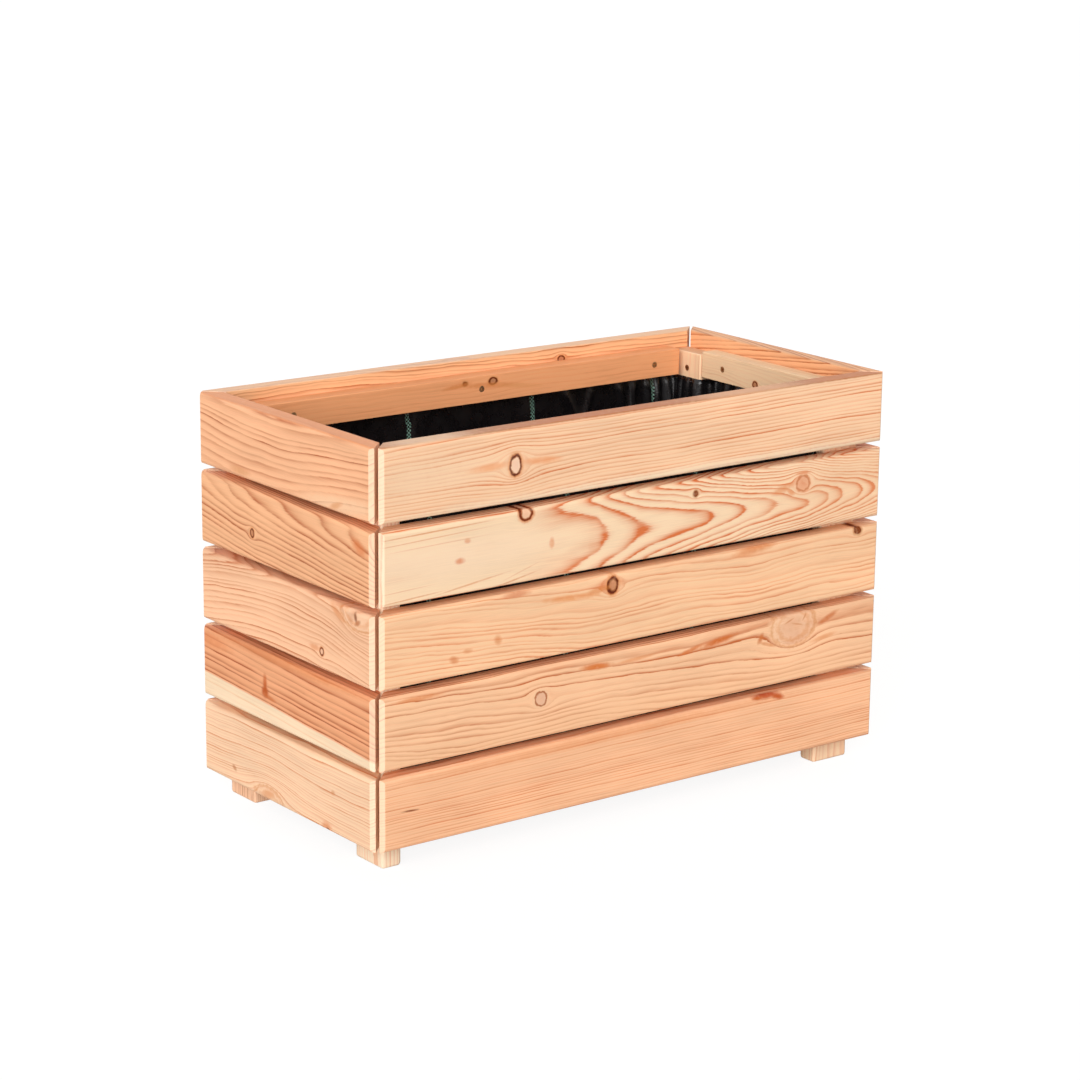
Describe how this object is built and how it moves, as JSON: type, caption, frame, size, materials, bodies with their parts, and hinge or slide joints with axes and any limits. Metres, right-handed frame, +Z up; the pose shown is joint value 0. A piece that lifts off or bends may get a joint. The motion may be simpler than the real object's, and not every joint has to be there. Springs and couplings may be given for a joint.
{
  "type": "planter box",
  "caption": "Rectangular raised planter box of mitred horizontal boards on four corner posts, with a slatted floor, upper battens and a woven liner, open at the top.",
  "frame": {"origin": "on the ground, below the middle of the box", "axes": "+X along the long sides, +Y towards the back long side, +Z up"},
  "size_m": [0.8, 0.4, 0.522],
  "materials": {
    "larch_boards": "planed, untreated, eased edges",
    "larch_posts": "planed, untreated, pale",
    "larch_battens": "planed, untreated, darker heartwood",
    "spruce_battens": "planed, untreated, pale",
    "larch_slats": "planed, untreated",
    "ground_cover_fabric": "woven black polypropylene tape with thin green marker lines",
    "zinc_plated_steel": "yellow zinc plated",
    "galvanised_wire": "galvanised"
  },
  "bodies": {
    "root": {"front_board_1": "larch_boards", "front_board_2": "larch_boards", "front_board_3": "larch_boards", "front_board_4": "larch_boards", "front_board_5": "larch_boards", "back_board_1": "larch_boards", "back_board_2": "larch_boards", "back_board_3": "larch_boards", "back_board_4": "larch_boards", "back_board_5": "larch_boards", "left_board_1": "larch_boards", "left_board_2": "larch_boards", "left_board_3": "larch_boards", "left_board_4": "larch_boards", "left_board_5": "larch_boards", "right_board_1": "larch_boards", "right_board_2": "larch_boards", "right_board_3": "larch_boards", "right_board_4": "larch_boards", "right_board_5": "larch_boards", "corner_post_front_left": "larch_posts", "corner_post_front_right": "larch_posts", "corner_post_back_left": "larch_posts", "corner_post_back_right": "larch_posts", "upper_batten_front": "larch_battens", "upper_batten_back": "larch_battens", "upper_batten_left": "spruce_battens", "upper_batten_right": "spruce_battens", "floor_batten_front": "spruce_battens", "floor_batten_back": "spruce_battens", "floor_slat_1": "larch_slats", "floor_slat_2": "larch_slats", "floor_slat_3": "larch_slats", "floor_slat_4": "larch_slats", "floor_slat_5": "larch_slats", "floor_slat_6": "larch_slats", "liner": "ground_cover_fabric", "post_screw_front_left": "zinc_plated_steel", "post_screw_front_right": "zinc_plated_steel", "post_screw_back_left": "zinc_plated_steel", "post_screw_back_right": "zinc_plated_steel", "batten_screw_front_1": "zinc_plated_steel", "batten_screw_front_2": "zinc_plated_steel", "batten_screw_front_3": "zinc_plated_steel", "batten_screw_back_1": "zinc_plated_steel", "batten_screw_back_2": "zinc_plated_steel", "batten_screw_back_3": "zinc_plated_steel", "batten_screw_left_1": "zinc_plated_steel", "batten_screw_left_2": "zinc_plated_steel", "batten_screw_right_1": "zinc_plated_steel", "batten_screw_right_2": "zinc_plated_steel", "liner_staple_front_left_1": "galvanised_wire", "liner_staple_front_left_2": "galvanised_wire", "liner_staple_front_right_1": "galvanised_wire", "liner_staple_front_right_2": "galvanised_wire", "liner_staple_back_left_1": "galvanised_wire", "liner_staple_back_left_2": "galvanised_wire", "liner_staple_back_right_1": "galvanised_wire", "liner_staple_back_right_2": "galvanised_wire"}
  },
  "joints": []
}
